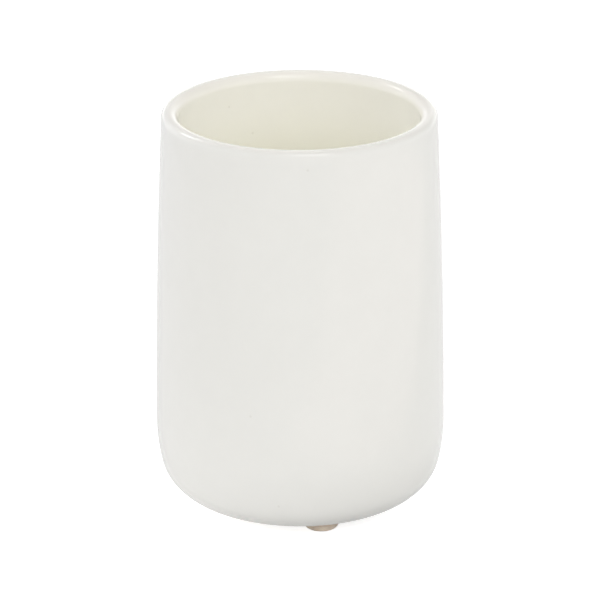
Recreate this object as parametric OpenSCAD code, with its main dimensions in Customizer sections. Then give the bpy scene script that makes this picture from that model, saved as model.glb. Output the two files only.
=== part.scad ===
// Bathroom tumbler: a glazed stoneware beaker that stands on four stick-on feet.
// Millimetres, +Z up. The origin is on the shelf, under the middle of the beaker, and -Y is its front.

/* [Body] */
// Largest diameter of the stoneware body, low on its wall
body_d = 80; // [74:1:90]
// Height of the stoneware body, from its underside to the top of the lip
body_h = 108.5; // [90:0.5:130]
// Outside diameter at the lip
rim_d = 74; // [68:1:79]
// Thickness of the wall
wall_t = 4.75; // [4:0.25:6]
// Radius of the lip's outer edge. Its inner edge takes the rest of the wall, so it is softer.
lip_r = 2; // [1:0.25:2.5]
// Thickness of the floor
floor_t = 5; // [4:0.25:8]

/* [Curves] */
// Radius of the slight bulge that runs up the wall
side_r = 2200; // [1000:50:4000]
// Radius of the soft bend where the wall starts to turn in
bend_r = 50; // [36:1:70]
// Radius of the rounded lower corner
corner_r = 10; // [7:0.5:13]
// How far the lower corner is drawn in from the largest diameter
corner_inset = 1; // [0.5:0.1:2.5]
// Radius of the fillet between floor and wall, inside
fillet_r = 9; // [5:0.5:16]

/* [Underside] */
// Depth of the shallow hollow in the middle of the underside
hollow_depth = 1; // [0.4:0.1:2]
// Flat left between the hollow and the feet
hollow_gap = 2.25; // [1:0.25:5]

/* [Feet] */
// Diameter of a foot
foot_d = 9.5; // [8:0.5:12]
// Height of a foot, without its adhesive
foot_h = 3.3; // [2:0.1:5]
// Radius of a foot's lower edge
foot_edge_r = 0.8; // [0.3:0.1:1.5]
// Flat left between a foot and the rounded corner
foot_margin = 0.25; // [0:0.05:1.5]
// Angle from straight ahead to the front foot, towards the right
foot_turn = 13.6; // [-40:0.1:40]

/* [Adhesive] */
// Thickness of the adhesive disc between a foot and the body
adhesive_t = 0.2; // [0.1:0.05:0.5]
// How far the adhesive disc stays inside the foot's edge
adhesive_inset = 0.2; // [0:0.05:0.6]

/* [Hidden] */
SIDES = ["front", "right", "back", "left"];

// Steps round a full turn
turn_fn = 180;
// Largest turn from one point of a round stretch to the next, and the fewest steps it is given
step_angle = 5;
fewest_steps = 6;

// Flat left on top of the lip, between its outer and its inner edge
lip_flat = 0.1;

glaze_colour = [0.91, 0.9, 0.87];
foot_colour = [0.78, 0.71, 0.63];
adhesive_colour = [0.66, 0.6, 0.53];

// Feet and adhesive lift the body off the shelf
body_z = foot_h + adhesive_t;

// The flat underside ends where the lower corner starts, and the feet stand close to that edge
base_r = body_d / 2 - corner_inset - corner_r;
foot_ring_r = base_r - foot_margin - foot_d / 2;
hollow_r = foot_ring_r - foot_d / 2 - hollow_gap;

// Centres of the round stretches of the wall, as [distance from the axis, height above the underside].
// Each stretch runs into the next without a kink, because its circle touches the next one from inside.
corner_c = [base_r, corner_r];
bend_c = [
    body_d / 2 - bend_r,
    corner_r + leg(bend_r - corner_r, bend_r - corner_r - corner_inset)
];
lip_c = [rim_d / 2 - lip_r, body_h - lip_r];
side_c = outer_centre(side_r, bend_c, bend_r, lip_c, lip_r);

// The lip's inner edge starts past the flat on top, with the radius that meets the inside without a kink
inner_start = [lip_c[0] - lip_flat, body_h];
inner_lip_r = edge_radius(inner_start, side_c, side_r - wall_t);
inner_lip_c = inner_start - [0, inner_lip_r];

// The inside follows the outside at the wall's thickness, down to its own fillet on the floor
fillet_c = [
    bend_c[0] + leg(bend_r - wall_t - fillet_r, floor_t + fillet_r - bend_c[1]),
    floor_t + fillet_r
];

// Angles at which one round stretch hands over to the next
corner_end = direction(bend_c, corner_c);
bend_end = direction(side_c, bend_c);
side_end = direction(side_c, lip_c);
inner_end = direction(side_c, inner_lip_c);
fillet_end = direction(bend_c, fillet_c);

// Section of the body: underside, outside, lip, inside, floor
body_outline = concat(
    [[0, hollow_depth]],
    arc([hollow_r - hollow_depth, 0], hollow_depth, 90, 0),
    arc(corner_c, corner_r, -90, corner_end),
    arc(bend_c, bend_r, corner_end, bend_end),
    arc(side_c, side_r, bend_end, side_end),
    arc(lip_c, lip_r, side_end, 90),
    arc(inner_lip_c, inner_lip_r, 90, inner_end + 180),
    arc(side_c, side_r - wall_t, inner_end, bend_end),
    arc(bend_c, bend_r - wall_t, bend_end, fillet_end),
    arc(fillet_c, fillet_r, fillet_end, -90),
    [[0, floor_t]]
);

// Section of a foot: flat below with a rounded edge, flat above
foot_outline = concat(
    [[0, 0]],
    arc([foot_d / 2 - foot_edge_r, foot_edge_r], foot_edge_r, -90, 0),
    [[foot_d / 2, foot_h], [0, foot_h]]
);

// Remaining side of a right-angled triangle, from its longest side and another
function leg(longest, other) = sqrt(longest * longest - other * other);

// Angle of the line from one point to another
function direction(from, to) = atan2(to[1] - from[1], to[0] - from[0]);

// Points along a round stretch, from one angle to another
function arc(centre, r, from, to) =
    let (steps = max(fewest_steps, ceil(abs(to - from) / step_angle)))
    [
        for (i = [0 : steps])
            let (angle = from + (to - from) * i / steps)
            centre + r * [cos(angle), sin(angle)]
    ];

// Centre of the circle of radius r that holds a lower and an upper circle and touches both,
// on the axis side of them
function outer_centre(r, lower_c, lower_r, upper_c, upper_r) =
    let (
        to_lower = r - lower_r,
        to_upper = r - upper_r,
        apart = norm(upper_c - lower_c),
        along = (to_lower ^ 2 - to_upper ^ 2 + apart ^ 2) / (2 * apart),
        up = (upper_c - lower_c) / apart
    )
    lower_c + along * up + leg(to_lower, along) * [-up[1], up[0]];

// Radius of the circle that touches a level line from below at a point, and another circle from outside
function edge_radius(point, centre, r) =
    let (apart = point - centre)
    (apart * apart - r * r) / (2 * (apart[1] + r));

// Moves its children to the place of one foot, counted from the front
module at_foot(i) {
    rotate([0, 0, foot_turn - 90 + i * 360 / len(SIDES)])
        translate([foot_ring_r, 0, 0])
            children();
}

module tumbler_body() {
    color(glaze_colour)
        translate([0, 0, body_z])
            rotate_extrude($fn = turn_fn)
                polygon(body_outline);
}

module foot(i) {
    color(foot_colour)
        at_foot(i)
            rotate_extrude($fn = turn_fn)
                polygon(foot_outline);
}

module adhesive(i) {
    color(adhesive_colour)
        at_foot(i)
            translate([0, 0, foot_h])
                cylinder(h = adhesive_t, r = foot_d / 2 - adhesive_inset, $fn = turn_fn);
}

tumbler_body();
for (i = [0 : len(SIDES) - 1]) {
    adhesive(i);
    foot(i);
}
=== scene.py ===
import math

import bmesh
import bpy
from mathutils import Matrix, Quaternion, Vector, noise


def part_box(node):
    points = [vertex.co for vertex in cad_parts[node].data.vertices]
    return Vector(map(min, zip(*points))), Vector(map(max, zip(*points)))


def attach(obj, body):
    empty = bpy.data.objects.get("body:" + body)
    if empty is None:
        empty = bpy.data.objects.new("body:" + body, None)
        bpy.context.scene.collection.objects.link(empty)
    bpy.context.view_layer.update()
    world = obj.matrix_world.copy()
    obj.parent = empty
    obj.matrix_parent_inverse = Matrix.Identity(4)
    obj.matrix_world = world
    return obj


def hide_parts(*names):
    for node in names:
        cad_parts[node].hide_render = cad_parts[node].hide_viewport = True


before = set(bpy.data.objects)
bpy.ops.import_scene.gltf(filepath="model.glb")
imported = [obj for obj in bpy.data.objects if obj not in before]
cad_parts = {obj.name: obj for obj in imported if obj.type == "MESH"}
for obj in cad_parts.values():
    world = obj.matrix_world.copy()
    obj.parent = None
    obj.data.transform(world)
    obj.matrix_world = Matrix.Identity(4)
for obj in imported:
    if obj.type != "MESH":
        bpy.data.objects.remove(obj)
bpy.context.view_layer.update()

# Sizes in millimetres, with the names and values of part.scad. Positions come from the frame.
MM = 0.001
BODY_D = 80.0
BODY_H = 108.5
RIM_D = 74.0
WALL_T = 4.75
LIP_R = 2.0
LIP_FLAT = 0.1
FLOOR_T = 5.0
SIDE_R = 2200.0
BEND_R = 50.0
CORNER_R = 10.0
CORNER_INSET = 1.0
FILLET_R = 9.0
HOLLOW_DEPTH = 1.0
HOLLOW_R = 17.0
FOOT_EDGE_R = 0.8

SIDES = ("front", "right", "back", "left")


def size_of(node):
    """Width and height of a CAD node in millimetres, and the middle of its underside in metres."""
    low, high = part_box(node)
    middle = Vector(((low.x + high.x) / 2, (low.y + high.y) / 2, low.z))
    return (high.x - low.x) / MM, (high.z - low.z) / MM, middle


# Camera

# It stands CAMERA_DISTANCE away from CAMERA_TARGET, in metres, and looks at CAMERA_AIM. Angles are in
# degrees, the focal length is in the photograph's pixels, and the sensor is in millimetres.
CAMERA_DISTANCE = 0.740
CAMERA_ELEVATION = 21.95
CAMERA_TARGET = Vector((0, 0, 0.056))
CAMERA_AIM = Vector((0, 0, 0.056964))
CAMERA_ROLL = -0.17
FOCAL_PIXELS = 2698.6
PHOTO_PIXELS = 600
SENSOR = 36.0
CLIP_START = 0.01
CLIP_END = 20


def add_camera():
    """The camera stands where the photograph was taken from."""
    camera = bpy.data.objects.new("camera", bpy.data.cameras.new("camera"))
    bpy.context.scene.collection.objects.link(camera)
    camera.data.sensor_width = SENSOR
    camera.data.lens = SENSOR * FOCAL_PIXELS / PHOTO_PIXELS
    camera.data.clip_start = CLIP_START
    camera.data.clip_end = CLIP_END
    rise = math.radians(CAMERA_ELEVATION)
    back = Vector((0, -math.cos(rise), math.sin(rise)))
    camera.location = CAMERA_TARGET + back * CAMERA_DISTANCE
    ahead = (CAMERA_AIM - camera.location).to_track_quat("-Z", "Y")
    camera.rotation_mode = "QUATERNION"
    camera.rotation_quaternion = ahead @ Quaternion((0, 0, 1), math.radians(CAMERA_ROLL))
    bpy.context.scene.camera = camera


# Sections, as points of distance from the axis and height in millimetres

# Largest turn in degrees and longest way in millimetres from one point to the next
MOST_TURN = 6.0
LONGEST_STEP = 1.5

# Points closer than this are one point, and a point closer to the axis lies on it
SAME_POINT = 1e-4
ON_AXIS = 1e-6

# Half the width of the soft step into the hollow, and how many stretches it is made of
HOLLOW_STEP = 1.0
STEP_COUNT = 14

# A foot's upper edge, and how much its side leans in on the way up
FOOT_TOP_EDGE = 0.15
FOOT_TAPER = 0.06


def leg(longest, other):
    """Remaining side of a right-angled triangle, from its longest side and another."""
    return math.sqrt(longest * longest - other * other)


def direction(start, end):
    """Angle of the line from one point to another, in degrees."""
    return math.degrees(math.atan2(end[1] - start[1], end[0] - start[0]))


def arc(centre, radius, start, end):
    """Points along a round stretch, from one angle to another."""
    length = math.radians(abs(end - start)) * radius
    steps = max(2, math.ceil(abs(end - start) / MOST_TURN), math.ceil(length / LONGEST_STEP))
    points = []
    for i in range(steps + 1):
        angle = math.radians(start + (end - start) * i / steps)
        points.append((centre[0] + radius * math.cos(angle), centre[1] + radius * math.sin(angle)))
    return points


def line(start, end):
    """Points along a straight stretch."""
    steps = max(1, math.ceil(math.dist(start, end) / LONGEST_STEP))
    points = []
    for i in range(steps + 1):
        t = i / steps
        points.append((start[0] + (end[0] - start[0]) * t, start[1] + (end[1] - start[1]) * t))
    return points


def soft_step(start, end):
    """Points of a soft step between two heights, level at both ends."""
    points = []
    for i in range(STEP_COUNT + 1):
        t = i / STEP_COUNT
        blend = (1 - math.cos(math.pi * t)) / 2
        points.append((start[0] + (end[0] - start[0]) * t, start[1] + (end[1] - start[1]) * blend))
    return points


def outer_centre(radius, lower, lower_r, upper, upper_r):
    """Centre of the circle that holds a lower and an upper circle and touches both."""
    to_lower = radius - lower_r
    to_upper = radius - upper_r
    apart = math.dist(lower, upper)
    along = (to_lower**2 - to_upper**2 + apart**2) / (2 * apart)
    up = ((upper[0] - lower[0]) / apart, (upper[1] - lower[1]) / apart)
    aside = leg(to_lower, along)
    return (lower[0] + along * up[0] - aside * up[1], lower[1] + along * up[1] + aside * up[0])


def edge_radius(point, centre, radius):
    """Radius of the circle that touches a level line from below at a point, and another from outside."""
    across = point[0] - centre[0]
    rise = point[1] - centre[1]
    return (across**2 + rise**2 - radius**2) / (2 * (rise + radius))


def joined(*stretches):
    """One outline from stretches that follow each other, without double points."""
    points = []
    for stretch in stretches:
        for point in stretch:
            if not points or math.dist(points[-1], point) > SAME_POINT:
                points.append(point)
    return points


def body_outline():
    """Section of the body, from the middle of its underside round the lip to the middle of its floor."""
    corner_c = (BODY_D / 2 - CORNER_INSET - CORNER_R, CORNER_R)
    rise = leg(BEND_R - CORNER_R, BEND_R - CORNER_R - CORNER_INSET)
    bend_c = (BODY_D / 2 - BEND_R, CORNER_R + rise)
    lip_c = (RIM_D / 2 - LIP_R, BODY_H - LIP_R)
    side_c = outer_centre(SIDE_R, bend_c, BEND_R, lip_c, LIP_R)
    inner_start = (lip_c[0] - LIP_FLAT, BODY_H)
    inner_lip_r = edge_radius(inner_start, side_c, SIDE_R - WALL_T)
    inner_lip_c = (inner_start[0], BODY_H - inner_lip_r)
    fillet_rise = FLOOR_T + FILLET_R - bend_c[1]
    fillet_c = (bend_c[0] + leg(BEND_R - WALL_T - FILLET_R, fillet_rise), FLOOR_T + FILLET_R)
    corner_end = direction(bend_c, corner_c)
    bend_end = direction(side_c, bend_c)
    side_end = direction(side_c, lip_c)
    inner_end = direction(side_c, inner_lip_c)
    fillet_end = direction(bend_c, fillet_c)
    return joined(
        line((0, HOLLOW_DEPTH), (HOLLOW_R - HOLLOW_STEP, HOLLOW_DEPTH)),
        soft_step((HOLLOW_R - HOLLOW_STEP, HOLLOW_DEPTH), (HOLLOW_R + HOLLOW_STEP, 0)),
        line((HOLLOW_R + HOLLOW_STEP, 0), (corner_c[0], 0)),
        arc(corner_c, CORNER_R, -90, corner_end),
        arc(bend_c, BEND_R, corner_end, bend_end),
        arc(side_c, SIDE_R, bend_end, side_end),
        arc(lip_c, LIP_R, side_end, 90),
        arc(inner_lip_c, inner_lip_r, 90, inner_end + 180),
        arc(side_c, SIDE_R - WALL_T, inner_end, bend_end),
        arc(bend_c, BEND_R - WALL_T, bend_end, fillet_end),
        arc(fillet_c, FILLET_R, fillet_end, -90),
        line((fillet_c[0], FLOOR_T), (0, FLOOR_T)),
    )


def foot_outline(width, height):
    """Section of a foot: flat below, a rounded lower edge, a slight taper and a crisp upper edge."""
    radius = width / 2
    edge_c = (radius - FOOT_EDGE_R, FOOT_EDGE_R)
    top_c = (radius - FOOT_TAPER - FOOT_TOP_EDGE, height - FOOT_TOP_EDGE)
    return joined(
        line((0, 0), (edge_c[0], 0)),
        arc(edge_c, FOOT_EDGE_R, -90, 0),
        line((radius, FOOT_EDGE_R), (radius - FOOT_TAPER, height - FOOT_TOP_EDGE)),
        arc(top_c, FOOT_TOP_EDGE, 0, 90),
        line((top_c[0], height), (0, height)),
    )


def adhesive_outline(width, height):
    """Section of a pressed adhesive disc, which bulges a little at its edge."""
    edge = height / 2
    edge_c = (width / 2 - edge, edge)
    return joined(
        line((0, 0), (edge_c[0], 0)),
        arc(edge_c, edge, -90, 90),
        line((edge_c[0], height), (0, height)),
    )


# Meshes

# Vertices round the body, and round a foot or a disc
BODY_TURNS = 256
FOOT_TURNS = 96


def smooth(value, low, high):
    """0 below low, 1 above high, and a soft rise between them."""
    t = min(1.0, max(0.0, (value - low) / (high - low)))
    return t * t * (3 - 2 * t)


def section_normals(outline):
    """Direction square to the outline at each point, on the side of the air."""
    normals = []
    for i in range(len(outline)):
        before = outline[max(0, i - 1)]
        after = outline[min(len(outline) - 1, i + 1)]
        length = math.dist(before, after)
        normals.append(((after[1] - before[1]) / length, -(after[0] - before[0]) / length))
    return normals


def revolve(name, outline, turns, lower=None, layers=None):
    """A closed body of revolution, whose outline starts and ends on the axis.

    lower(point, i) says how far a vertex sinks below the true surface, in millimetres. layers are
    vertex attributes by name, each with one value for each point of the outline.
    """
    mesh = bpy.data.meshes.new(name)
    work = bmesh.new()
    marks = {key: work.verts.layers.float.new(key) for key in (layers or {})}
    normals = section_normals(outline)
    rings = []
    for i, (radius, height) in enumerate(outline):
        count = 1 if radius < ON_AXIS else turns
        ring = []
        for j in range(count):
            angle = 2 * math.pi * j / turns
            point = Vector((radius * math.cos(angle), radius * math.sin(angle), height))
            if lower and count > 1:
                out, up = normals[i]
                away = Vector((out * math.cos(angle), out * math.sin(angle), up))
                point -= away * lower(point, i)
            vertex = work.verts.new(point * MM)
            for key, layer in marks.items():
                vertex[layer] = layers[key][i]
            ring.append(vertex)
        rings.append(ring)
    for first, second in zip(rings, rings[1:]):
        for j in range(turns):
            k = (j + 1) % turns
            if len(first) == 1:
                work.faces.new((first[0], second[k], second[j]))
            elif len(second) == 1:
                work.faces.new((first[j], first[k], second[0]))
            else:
                work.faces.new((first[j], first[k], second[k], second[j]))
    for face in work.faces:
        face.smooth = True
    work.to_mesh(mesh)
    work.free()
    piece = bpy.data.objects.new(name, mesh)
    bpy.context.scene.collection.objects.link(piece)
    return piece


def stand_in(piece, node, material, at):
    """The piece takes the CAD node's place, slot and body."""
    piece.location = at
    piece.data.materials.append(material)
    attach(piece, "root")
    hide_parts(node)


# Unevenness of the slip-cast body, in millimetres: a slow waver, a finer ripple and a round that is
# a little out of true. It only ever takes away, so that the body stays inside its CAD solid. The
# offsets pick a part of the noise.
WAVER = 0.02
WAVER_LENGTH = 34.0
WAVER_OFFSET = Vector((3.1, 7.7, 1.9))
RIPPLE = 0.006
RIPPLE_LENGTH = 9.0
RIPPLE_OFFSET = Vector((5.3, 2.2, 8.4))
OUT_OF_ROUND = 0.03
OUT_OF_ROUND_TURN = math.radians(35)

# Heights on the outside, in millimetres, between which the body goes from true to uneven
UNEVEN_FROM = (3, 14)


def unevenness(point, share):
    """How far the cast surface sinks at a point. share is 0 where it stays true."""
    angle = math.atan2(point.y, point.x)
    slow = noise.noise(point / WAVER_LENGTH + WAVER_OFFSET)
    fine = noise.noise(point / RIPPLE_LENGTH + RIPPLE_OFFSET)
    oval = math.cos(2 * (angle - OUT_OF_ROUND_TURN))
    depth = WAVER * (1 + slow) + RIPPLE * (1 + fine) + OUT_OF_ROUND * (1 + oval) / 2
    return depth * share


# Node trees

# A noise pattern mostly stays between these, round its middle, and is spread from there
NOISE_LOW = 0.3
NOISE_MIDDLE = 0.5
NOISE_HIGH = 0.7


class Tree:
    """Adds nodes to a node tree and links them in few words."""

    def __init__(self, owner):
        owner.use_nodes = True
        self.tree = owner.node_tree
        self.tree.nodes.clear()

    def put(self, socket, value):
        if isinstance(value, bpy.types.NodeSocket):
            self.tree.links.new(value, socket)
        else:
            socket.default_value = value

    def add(self, kind, inputs, out=0, **settings):
        node = self.tree.nodes.new("ShaderNode" + kind)
        for key, value in settings.items():
            setattr(node, key, value)
        for key, value in inputs.items():
            self.put(node.inputs[key], value)
        return node.outputs[out]

    def math(self, operation, a, b):
        return self.add("Math", {0: a, 1: b}, operation=operation)

    def mix(self, factor, a, b):
        return self.add("Mix", {0: factor, 6: a, 7: b}, out=2, data_type="RGBA")

    def mix_values(self, factor, a, b):
        return self.add("Mix", {0: factor, 2: a, 3: b}, data_type="FLOAT")

    def remap(self, value, low, high, to_low=0.0, to_high=1.0):
        inputs = {0: value, 1: low, 2: high, 3: to_low, 4: to_high}
        return self.add("MapRange", inputs, interpolation_type="SMOOTHSTEP")

    def spread(self, pattern, to_low=0.0, to_high=1.0):
        return self.remap(pattern, NOISE_LOW, NOISE_HIGH, to_low, to_high)

    def fade(self, value, start, end):
        """1 below start, 0 above end, and a straight fall between them."""
        return self.add("MapRange", {0: value, 1: start, 2: end, 3: 1.0, 4: 0.0})

    def ramp(self, value, stops):
        """A curve of straight stretches through stops of position and value."""
        node = self.tree.nodes.new("ShaderNodeValToRGB")
        elements = node.color_ramp.elements
        while len(elements) < len(stops):
            elements.new(1.0)
        for element, (position, level) in zip(elements, stops):
            element.position = position
            element.color = (level, level, level, 1.0)
        self.tree.links.new(value, node.inputs[0])
        return node.outputs["Color"]

    def noise(self, place, length_mm, detail=2.0, roughness=0.5):
        inputs = {"Vector": place, "Scale": 1 / (length_mm * MM), "Detail": detail, "Roughness": roughness}
        return self.add("TexNoise", inputs)

    def split(self, vector):
        node = self.tree.nodes.new("ShaderNodeSeparateXYZ")
        self.tree.links.new(vector, node.inputs[0])
        return node.outputs

    def distance(self, a, b):
        return self.add("VectorMath", {0: a, 1: b}, out="Value", operation="DISTANCE")

    def seen(self):
        """1 for rays that look at the studio, straight or by gloss or glass, and 1 for camera rays."""
        path = self.tree.nodes.new("ShaderNodeLightPath").outputs
        most = self.math("MAXIMUM", path["Is Camera Ray"], path["Is Glossy Ray"])
        return self.math("MAXIMUM", most, path["Is Transmission Ray"]), path["Is Camera Ray"]

    def place(self):
        return self.add("TexCoord", {}, out="Object")

    def attribute(self, name):
        return self.add("Attribute", {}, out="Fac", attribute_name=name)

    def bump(self, height, depth_mm, normal=None):
        inputs = {"Height": height, "Strength": 1.0, "Distance": depth_mm * MM}
        if normal is not None:
            inputs["Normal"] = normal
        return self.add("Bump", inputs)

    def finish(self, shader, kind="Material"):
        out = self.tree.nodes.new("ShaderNodeOutput" + kind)
        self.tree.links.new(shader, out.inputs["Surface"])


def linear(tone):
    """A colour written as red, green and blue from 0 to 255, as a shader takes it."""
    values = []
    for value in tone:
        v = value / 255
        values.append(v / 12.92 if v <= 0.04045 else ((v + 0.055) / 1.055) ** 2.4)
    return (*values, 1.0)


def new_material(name):
    material = bpy.data.materials.new(name)
    return material, Tree(material)


# Glaze

# Tones from 0 to 255. A pair is the two ends of a cloudy pattern.
OUTER_TONES = ((233, 232, 227), (235, 234, 229))
# Brighter and warmer inside: painted light, standing in for light that bounces in the cup
INSIDE_PAINTED_LIGHT_TONES = ((244, 242, 233), (246, 244, 235))
# Lighter and warmer over the lip: a painted highlight along the crest
LIP_PAINTED_HIGHLIGHT_TONE = (239, 236, 228)
# Warmer and a little brighter deep inside: painted light from the bounce in the cup
DEEP_PAINTED_BOUNCE_TONE = (247, 245, 231)
SPECK_TONE = (176, 170, 158)
CLAY_TONES = ((214, 205, 188), (228, 221, 207))

# Where the glaze changes, in millimetres along the section past the lip's highest point: a little lighter
# and warmer over the lip, which is a painted highlight along the crest, then a brighter and warmer tone
# inside and a warmer, slightly brighter one deep inside, which are painted light for light bouncing in the
# cup.
# Each change starts at the first number, and below 0 that is on the outside. It is complete at the second.
GLAZE_CHANGES = {"over_lip": (-2.4, 1.4), "inside": (2.2, 4.6), "deep": (8.0, 28.0)}

# The bare ring under the base, in millimetres: the distances from the axis over which it softly starts
# and ends, and the height above the underside that it stays below
BARE_START = (16.2, 17.6)
BARE_END = (30.2, 31.6)
BARE_BELOW = 3

# How much the clouds fray the ring's edge, and where it then counts as bare
FRAY = 0.5
FRAY_EDGE = (0.44, 0.56)

# Lengths of the patterns and depths of the relief, in millimetres
BROAD_LENGTH = 42.0
CLOUD_LENGTH = 6.0
GRAIN_LENGTH = 0.9
SWELL_LENGTH = 3.2
SWELL_DEPTH = 0.012
PEEL_LENGTH = 0.75
PEEL_DEPTH = 0.004
SPECK_DEPTH = 0.05
CLAY_DEPTH = 0.06

# Share of the broad pattern in the tone, which the clouds make up the rest of
BROAD_SHARE = 0.55

# Roughness of the glaze, from one end of the clouds to the other, and of the bare clay
GLAZE_ROUGHNESS = (0.09, 0.13)
CLAY_ROUGHNESS = 0.8

# Specks in the glaze as (inside, degrees round from the front, millimetres above the shelf). The first
# five are in the photograph, and the rest are spread over the sides that it doesn't show.
SPECKS = (
    (False, 3.1, 107.3),
    (False, -19.4, 38.9),
    (False, -8.7, 13.1),
    (True, -143.2, 104.0),
    (True, -156.5, 95.0),
    (False, 118.0, 71.0),
    (False, 152.0, 26.5),
    (False, -97.0, 88.0),
    (False, -166.0, 52.0),
    (True, 61.0, 78.0),
    (True, -34.0, 46.0),
)
SPECK_CORE_R = 0.1
SPECK_R = 0.5
SPECK_STRENGTH = 0.14

# Points of the section nearer to the axis than this are on the floor or the underside, not on a wall
WALL_FROM = 20


def top_of(outline):
    """Which point of the body's section is the lip's highest."""
    return max(range(len(outline)), key=lambda i: outline[i][1])


def wall_radius(outline, within, height):
    """Distance from the axis of the wall's inner or outer face, at a height above the body's underside."""
    top = top_of(outline)
    stretch = outline[top:] if within else outline[:top]
    return min(stretch, key=lambda p: (p[0] < WALL_FROM, abs(p[1] - height)))[0]


def glaze_layers(outline):
    """Shares that the glaze changes by, each with one value for each point of the section."""
    top = top_of(outline)
    along = [0.0] * len(outline)
    for i in range(top + 1, len(outline)):
        along[i] = along[i - 1] + math.dist(outline[i - 1], outline[i])
    for i in range(top - 1, -1, -1):
        along[i] = along[i + 1] - math.dist(outline[i + 1], outline[i])
    layers = {}
    for name, (start, full) in GLAZE_CHANGES.items():
        layers[name] = [smooth(value, start, full) for value in along]
    layers["bare"] = []
    for i, (radius, height) in enumerate(outline):
        on_ring = i <= top and height < BARE_BELOW
        share = smooth(radius, *BARE_START) * (1 - smooth(radius, *BARE_END))
        layers["bare"].append(share if on_ring else 0.0)
    return layers


def glaze(outline, body_z):
    """Satin off-white glaze over stoneware, bare and matt on the ring under the base, with painted light:
    lighter over the lip, brighter and warmer inside.
    """
    material, t = new_material("satin_glaze")
    place = t.place()
    over_lip = t.attribute("over_lip")
    inside = t.attribute("inside")
    deep = t.attribute("deep")
    bare = t.attribute("bare")

    broad = t.noise(place, BROAD_LENGTH)
    cloud = t.noise(place, CLOUD_LENGTH, detail=4.0, roughness=0.6)
    grain = t.noise(place, GRAIN_LENGTH, detail=3.0, roughness=0.6)
    tone = t.math("ADD", t.math("MULTIPLY", broad, BROAD_SHARE), t.math("MULTIPLY", cloud, 1 - BROAD_SHARE))
    tone = t.spread(tone)
    outer_colour = t.mix(tone, linear(OUTER_TONES[0]), linear(OUTER_TONES[1]))
    # Painted light: the inside gets a brighter, warmer copy of the glaze
    inside_painted_light = t.mix(tone, linear(INSIDE_PAINTED_LIGHT_TONES[0]), linear(INSIDE_PAINTED_LIGHT_TONES[1]))
    # Painted highlight: the lip is lighter than the outside glaze
    colour = t.mix(over_lip, outer_colour, linear(LIP_PAINTED_HIGHLIGHT_TONE))
    colour = t.mix(inside, colour, inside_painted_light)
    # Painted light deep inside: a warmer, slightly brighter tone
    colour = t.mix(deep, colour, linear(DEEP_PAINTED_BOUNCE_TONE))

    speck = 0.0
    for within, turn, height in SPECKS:
        radius = wall_radius(outline, within, height - body_z)
        angle = math.radians(turn)
        centre = Vector((radius * math.sin(angle), -radius * math.cos(angle), height - body_z)) * MM
        spot = t.remap(t.distance(place, centre), SPECK_CORE_R * MM, SPECK_R * MM, 1.0, 0.0)
        speck = t.math("MAXIMUM", spot, speck)
    colour = t.mix(t.math("MULTIPLY", speck, SPECK_STRENGTH), colour, linear(SPECK_TONE))

    ragged = t.math("ADD", bare, t.math("MULTIPLY", t.math("SUBTRACT", cloud, NOISE_MIDDLE), FRAY))
    uncovered = t.remap(ragged, *FRAY_EDGE)
    clay = t.mix(grain, linear(CLAY_TONES[0]), linear(CLAY_TONES[1]))
    colour = t.mix(uncovered, colour, clay)
    roughness = t.mix_values(uncovered, t.spread(cloud, *GLAZE_ROUGHNESS), CLAY_ROUGHNESS)

    peel = t.noise(place, PEEL_LENGTH)
    swell = t.noise(place, SWELL_LENGTH, detail=1.0)
    normal = t.bump(swell, SWELL_DEPTH)
    normal = t.bump(peel, PEEL_DEPTH, normal)
    normal = t.bump(t.math("MULTIPLY", speck, -1.0), SPECK_DEPTH, normal)
    normal = t.bump(t.math("MULTIPLY", grain, uncovered), CLAY_DEPTH, normal)

    shader = t.add(
        "BsdfPrincipled",
        {"Base Color": colour, "Roughness": roughness, "Normal": normal, "IOR": 1.5},
    )
    t.finish(shader)
    return material


# Feet and adhesive, with tones from 0 to 255, and lengths and depths in millimetres

FOOT_TONES = ((232, 213, 194), (242, 224, 205))
FOOT_CLOUD_LENGTH = 2.6
FOOT_GRAIN_LENGTH = 0.35
FOOT_GRAIN_DEPTH = 0.006
FOOT_ROUGHNESS = (0.32, 0.42)

# The film's own tan, darker than the foot so that it also stands in for the contact shade where the foot
# meets the body: painted shade
FILM_AND_CONTACT_SHADE_TONES = ((168, 153, 135), (182, 168, 150))
FILM_PATCH_LENGTH = 1.4
FILM_PATCH_DEPTH = 0.01
FILM_PATCH_EDGE = (0.35, 0.65)
FILM_ROUGHNESS = (0.5, 0.65)


def foot_plastic():
    """Beige, slightly see-through soft plastic."""
    material, t = new_material("bumper_plastic")
    place = t.place()
    cloud = t.noise(place, FOOT_CLOUD_LENGTH)
    grain = t.noise(place, FOOT_GRAIN_LENGTH)
    shader = t.add(
        "BsdfPrincipled",
        {
            "Base Color": t.mix(t.spread(cloud), linear(FOOT_TONES[0]), linear(FOOT_TONES[1])),
            "Roughness": t.spread(grain, *FOOT_ROUGHNESS),
            "Normal": t.bump(grain, FOOT_GRAIN_DEPTH),
            "IOR": 1.48,
            "Subsurface Weight": 0.35,
            "Subsurface Radius": (1.0, 0.75, 0.5),
            "Subsurface Scale": 0.0012,
        },
    )
    t.finish(shader)
    return material


def adhesive_film():
    """Thin tan adhesive with paler patches where it has not wetted the clay. Its darker tan also serves as
    painted contact shade where the foot meets the body.
    """
    material, t = new_material("sticker_film")
    patch = t.noise(t.place(), FILM_PATCH_LENGTH, detail=3.0)
    pale = t.remap(patch, *FILM_PATCH_EDGE)
    shader = t.add(
        "BsdfPrincipled",
        {
            "Base Color": t.mix(pale, linear(FILM_AND_CONTACT_SHADE_TONES[0]), linear(FILM_AND_CONTACT_SHADE_TONES[1])),
            "Roughness": t.spread(patch, *FILM_ROUGHNESS),
            "Normal": t.bump(patch, FILM_PATCH_DEPTH),
        },
    )
    t.finish(shader)
    return material


# Stage. Lengths are in metres.

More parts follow.
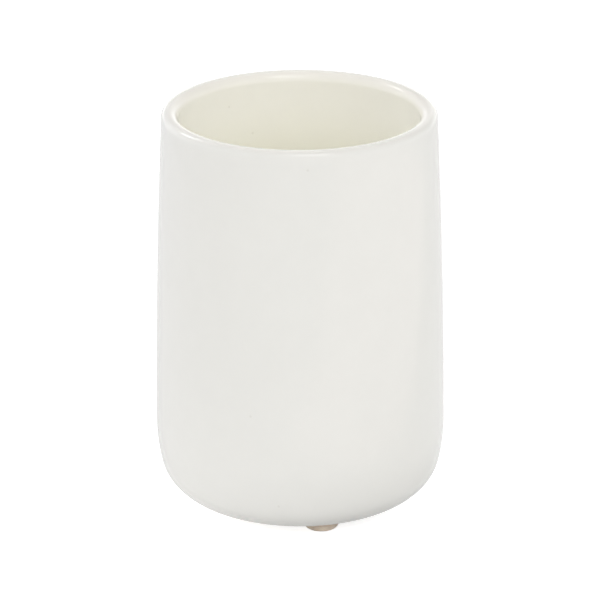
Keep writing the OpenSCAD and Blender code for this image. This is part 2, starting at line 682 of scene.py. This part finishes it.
FLOOR_SIDE = 6.0

# The floor's tone under the light, from 0 to 1
FLOOR_TONE = 0.5

# The floor's glow as it lights the object. Near the middle it is NEAR_GLOW, with more at the back and
# at the left. From NEAR_START to NEAR_END away from the middle it changes to FAR_GLOW. Within
# CONTACT_START it is dimmed, more so at the right, and the dimming ends at CONTACT_END.
NEAR_GLOW = 0.46
NEAR_LEFT = 0.17
NEAR_BACK = 0.28
NEAR_START = 0.08
NEAR_END = 0.2
FAR_GLOW = 0.25
CONTACT_DIM = 0.07
CONTACT_RIGHT = 0.12
CONTACT_START = 0.04
CONTACT_END = 0.07

# The glow that the object mirrors, with more at the right, and the glow that the camera sees. The
# second is white together with the light on the floor, but for a faint shadow at the contact.
SHINE_GLOW = 0.4
SHINE_RIGHT = 0.1
CAMERA_GLOW = 0.8


def add_floor():
    """A plain pale floor. Seen from below it isn't there, so that the underside can be looked at."""
    mesh = bpy.data.meshes.new("floor")
    work = bmesh.new()
    bmesh.ops.create_grid(work, x_segments=1, y_segments=1, size=FLOOR_SIDE / 2)
    work.to_mesh(mesh)
    work.free()
    floor = bpy.data.objects.new("floor", mesh)
    bpy.context.scene.collection.objects.link(floor)
    material, t = new_material("floor")
    seen, camera_ray = t.seen()
    position = t.add("NewGeometry", {}, out="Position")
    apart = t.distance(position, (0, 0, 0))
    across, depth = t.split(t.add("VectorMath", {0: position}, operation="NORMALIZE"))[:2]
    near = t.fade(apart, NEAR_START, NEAR_END)
    slant = t.math("SUBTRACT", t.math("MULTIPLY", depth, NEAR_BACK), t.math("MULTIPLY", across, NEAR_LEFT))
    by_object = t.math("ADD", slant, NEAR_GLOW)
    contact = t.fade(apart, CONTACT_START, CONTACT_END)
    dim = t.math("ADD", t.math("MULTIPLY", across, CONTACT_RIGHT), CONTACT_DIM)
    by_object = t.math("SUBTRACT", by_object, t.math("MULTIPLY", dim, contact))
    by_object = t.math("MAXIMUM", by_object, 0.0)
    lighting = t.mix_values(near, FAR_GLOW, by_object)
    mirrored = t.math("ADD", t.math("MULTIPLY", across, SHINE_RIGHT), SHINE_GLOW)
    visible = t.mix_values(camera_ray, mirrored, CAMERA_GLOW)
    glow = t.mix_values(seen, lighting, visible)
    lit = t.add("BsdfDiffuse", {"Color": (FLOOR_TONE, FLOOR_TONE, FLOOR_TONE, 1)})
    white = t.add("Emission", {"Color": (1, 1, 1, 1), "Strength": glow})
    both = t.add("AddShader", {0: lit, 1: white})
    below = t.add("NewGeometry", {}, out="Backfacing")
    clear = t.add("BsdfTransparent", {})
    t.finish(t.add("MixShader", {0: below, 1: both, 2: clear}))
    mesh.materials.append(material)


# Light from the sky: a soft band all round, stronger in front and a little stronger at the right. Its
# stops are the sine of the elevation and a share of SKY_BAND.
SKY_STOPS = ((0.15, 0.0), (0.35, 0.25), (0.55, 1.0), (0.75, 0.0))
SKY_BAND = 3.68
SKY_FRONT = 0.4
SKY_RIGHT = 0.11

# The backdrop as the object mirrors it: bright at the horizon, fading upwards, and a little stronger at
# the back. Its stops are the sine of the elevation and a share of SEEN_LEVEL.
SEEN_STOPS = ((0.0, 0.7), (0.15, 0.45), (0.3, 0.25), (0.6, 0.05))
SEEN_LEVEL = 2.4
SEEN_BACK = 0.2


def add_world():
    """White to the camera, a bright horizon in reflections, and a soft light all round on the object."""
    world = bpy.data.worlds.new("studio")
    bpy.context.scene.world = world
    t = Tree(world)
    seen, camera_ray = t.seen()
    across, depth, height = t.split(t.add("TexCoord", {}, out="Generated"))
    tilt = t.math("SUBTRACT", t.math("MULTIPLY", across, SKY_RIGHT), t.math("MULTIPLY", depth, SKY_FRONT))
    level = t.math("MULTIPLY", t.math("ADD", tilt, 1.0), SKY_BAND)
    sky = t.math("MULTIPLY", t.ramp(height, SKY_STOPS), level)
    level = t.math("MULTIPLY", t.math("ADD", t.math("MULTIPLY", depth, SEEN_BACK), 1.0), SEEN_LEVEL)
    mirrored = t.math("MULTIPLY", t.ramp(height, SEEN_STOPS), level)
    visible = t.mix_values(camera_ray, mirrored, 1.0)
    strength = t.mix_values(seen, sky, visible)
    background = t.add("Background", {"Color": (1, 1, 1, 1), "Strength": strength})
    t.finish(background, "World")


WHITE = (1, 1, 1)

# The soft boxes stand at one distance from this point, and face it
LIT_POINT = Vector((0, 0, 0.06))
BOX_DISTANCE = 0.9

# Each soft box as (name, degrees round from the front towards the right, degrees up, width, height,
# radiance, colour, gloss only). One for gloss only shines in the glaze and doesn't light it. The others
# light it and don't shine.
SOFT_BOXES = (
    ("overhead", 13, 56, 0.40, 0.20, 6.0, WHITE, True),
    ("back_left", 232, 36, 0.22, 0.30, 5.9, (0.85, 0.87, 1.0), False),
    ("glint", 233, 40, 0.13, 0.22, 7.5, WHITE, True),
    ("glow_left", 232, 36, 0.70, 0.60, 0.8, WHITE, True),
    ("glow_right", 160, 24, 0.50, 0.40, 0.3, WHITE, True),
)

# A square card on the floor, by the corner that it starts from and the turn of its side in degrees
CARD_SIDE = 0.46
CARD_RADIANCE = 0.5
CARD_COLOUR = (1.0, 0.82, 0.76)
CARD_CORNER = Vector((-0.014, -0.125, 0.001))
CARD_TURN = -52.0


def add_lamp(name, width, height, radiance, colour, gloss_only):
    """A rectangle of light, which the camera doesn't see."""
    lamp = bpy.data.lights.new(name, "AREA")
    lamp.color = colour
    lamp.shape = "RECTANGLE"
    lamp.size = width
    lamp.size_y = height
    lamp.energy = radiance * math.pi * width * height
    holder = bpy.data.objects.new(name, lamp)
    bpy.context.scene.collection.objects.link(holder)
    holder.visible_camera = False
    holder.visible_diffuse = not gloss_only
    holder.visible_glossy = gloss_only
    return holder


def add_soft_box(name, turn, elevation, width, height, radiance, colour, gloss_only):
    """A soft box that faces the lit point."""
    a = math.radians(turn)
    e = math.radians(elevation)
    away = Vector((math.sin(a) * math.cos(e), -math.cos(a) * math.cos(e), math.sin(e)))
    box = add_lamp(name, width, height, radiance, colour, gloss_only)
    box.location = LIT_POINT + away * BOX_DISTANCE
    box.rotation_euler = away.to_track_quat("Z", "Y").to_euler()


def add_card():
    """A card that lies on the floor at the front right, faces up and only shines in the glaze."""
    card = add_lamp("card", CARD_SIDE, CARD_SIDE, CARD_RADIANCE, CARD_COLOUR, gloss_only=True)
    turn = math.radians(CARD_TURN)
    along = Vector((math.cos(turn), math.sin(turn), 0))
    beside = Vector((-math.sin(turn), math.cos(turn), 0))
    card.location = CARD_CORNER + (along + beside) * CARD_SIDE / 2
    card.rotation_euler = (math.pi, 0, turn)


# The build


def add_body():
    """The glazed body, whose outside is true low down and the rest a little uneven."""
    at = size_of("tumbler_body")[2]
    outline = body_outline()
    top = top_of(outline)
    shares = [1.0 if i > top else smooth(point[1], *UNEVEN_FROM) for i, point in enumerate(outline)]
    body = revolve(
        "tumbler_stoneware",
        outline,
        BODY_TURNS,
        lower=lambda point, i: unevenness(point, shares[i]) if shares[i] > 0 else 0.0,
        layers=glaze_layers(outline),
    )
    stand_in(body, "tumbler_body", glaze(outline, at.z / MM), Vector((0, 0, at.z)))


def add_feet():
    """Four feet, each with its adhesive disc on top."""
    plastic = foot_plastic()
    film = adhesive_film()
    for side in SIDES:
        width, height, at = size_of("foot_" + side)
        foot = revolve("bumper_" + side, foot_outline(width, height), FOOT_TURNS)
        stand_in(foot, "foot_" + side, plastic, at)
        width, height, at = size_of("adhesive_" + side)
        disc = revolve("sticker_" + side, adhesive_outline(width, height), FOOT_TURNS)
        stand_in(disc, "adhesive_" + side, film, at)


add_camera()
add_body()
add_feet()
add_floor()
add_world()
for box in SOFT_BOXES:
    add_soft_box(*box)
add_card()

bpy.context.scene.view_settings.view_transform = "Standard"
